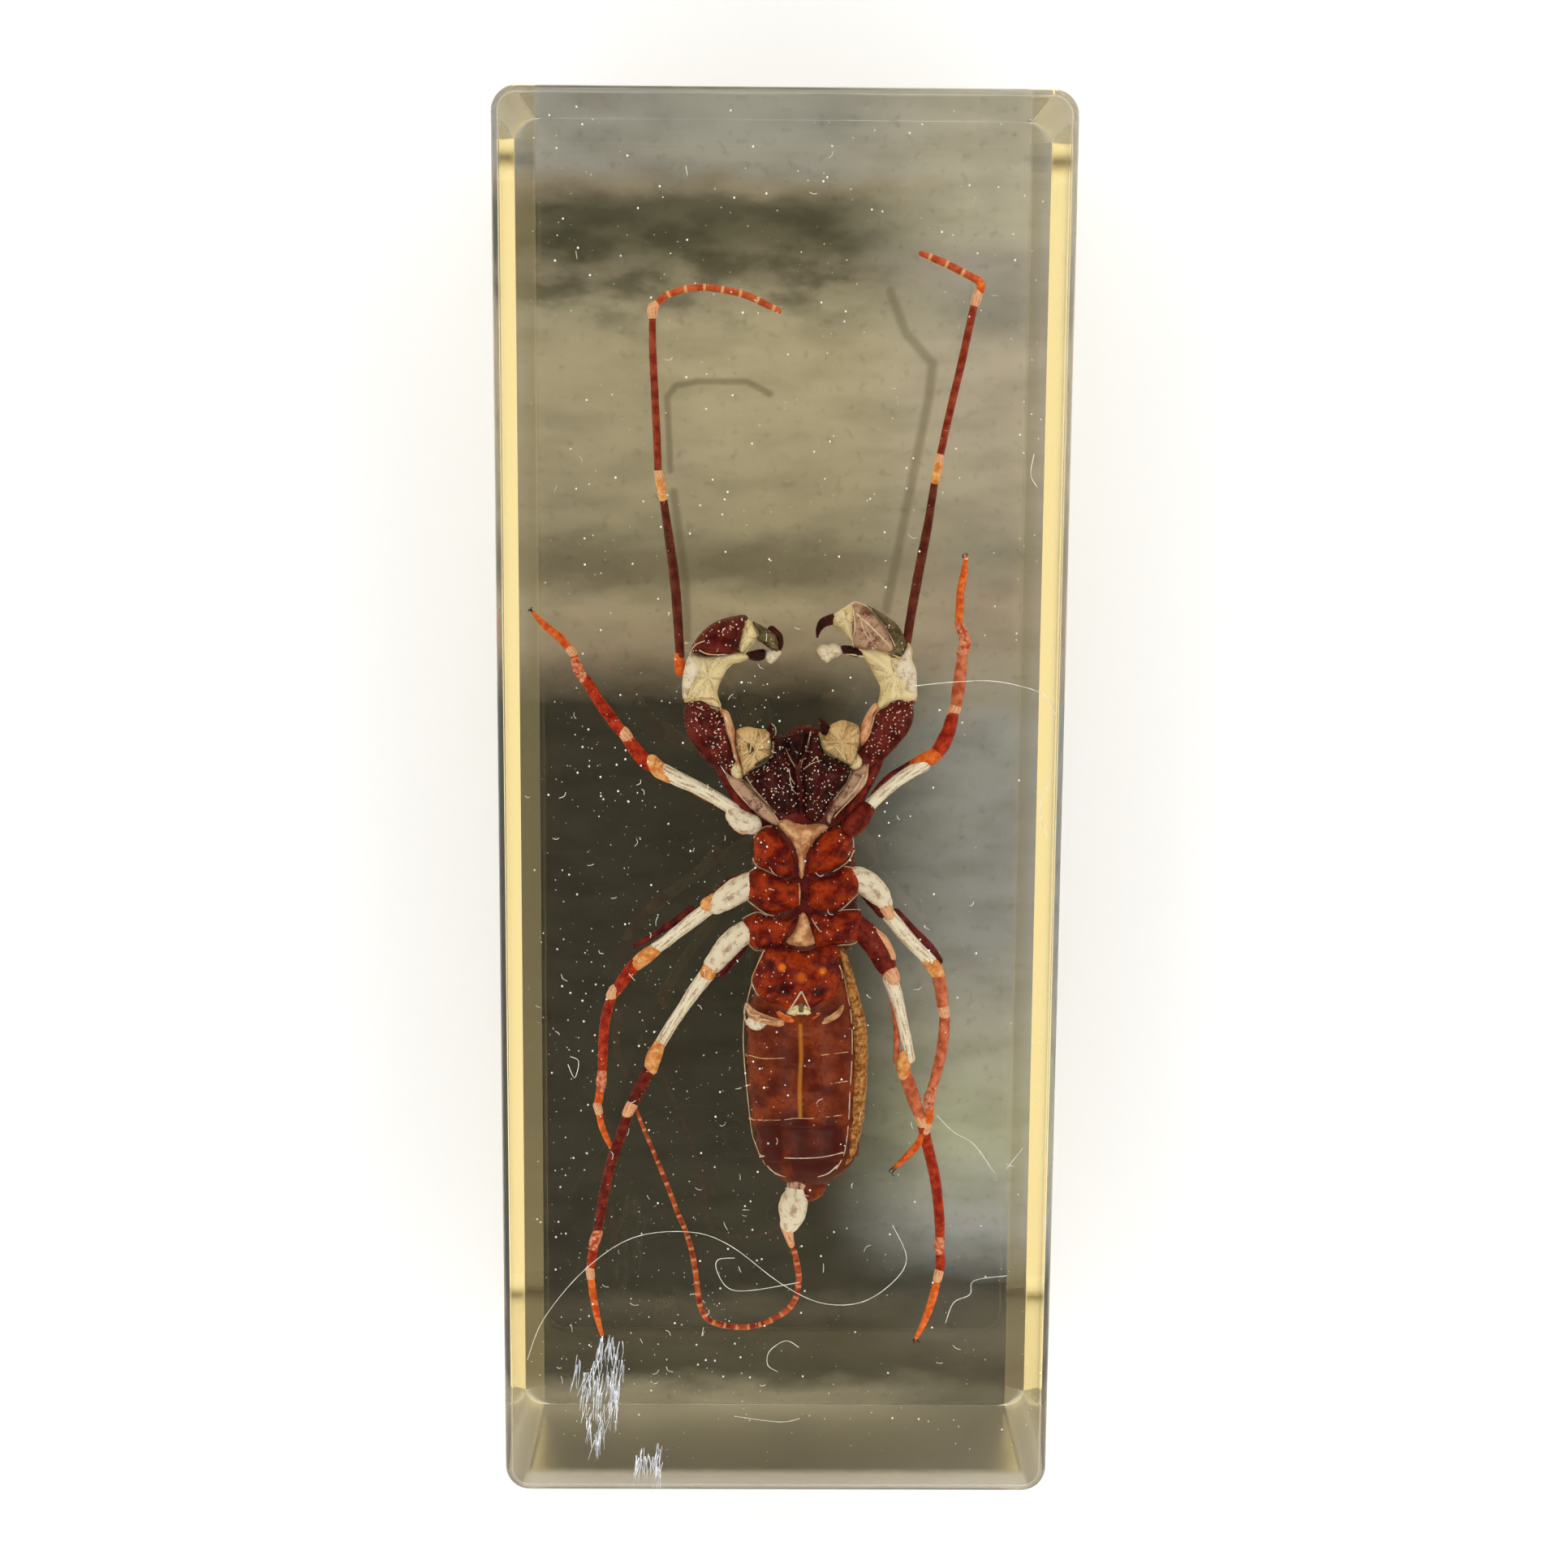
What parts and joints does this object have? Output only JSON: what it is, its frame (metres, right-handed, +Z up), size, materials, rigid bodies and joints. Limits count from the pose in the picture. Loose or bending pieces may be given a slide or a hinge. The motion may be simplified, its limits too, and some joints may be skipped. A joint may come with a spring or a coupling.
{
  "type": "whip scorpion in clear resin block",
  "caption": "Dried whip scorpion, underside up, sealed in a clear rectangular resin block with rounded edges on a thin dark backing.",
  "frame": {"origin": "centre of the backing's underside, with the block lying flat", "axes": "+Z up, out of the block's front face; +Y along the block from the animal's tail to its feelers; +X across the block"},
  "size_m": [0.0446, 0.112, 0.0285],
  "materials": {
    "clear_resin": "clear polished casting resin with a faint yellow tint",
    "dried_chitin": "glossy red-brown shell with cream membranes",
    "dark_sheet": "smooth dark olive-black sheet"
  },
  "bodies": {
    "root": {"resin_front_half": "clear_resin", "resin_back_half": "clear_resin", "whip_scorpion": "dried_chitin", "dark_backing": "dark_sheet"}
  },
  "joints": []
}
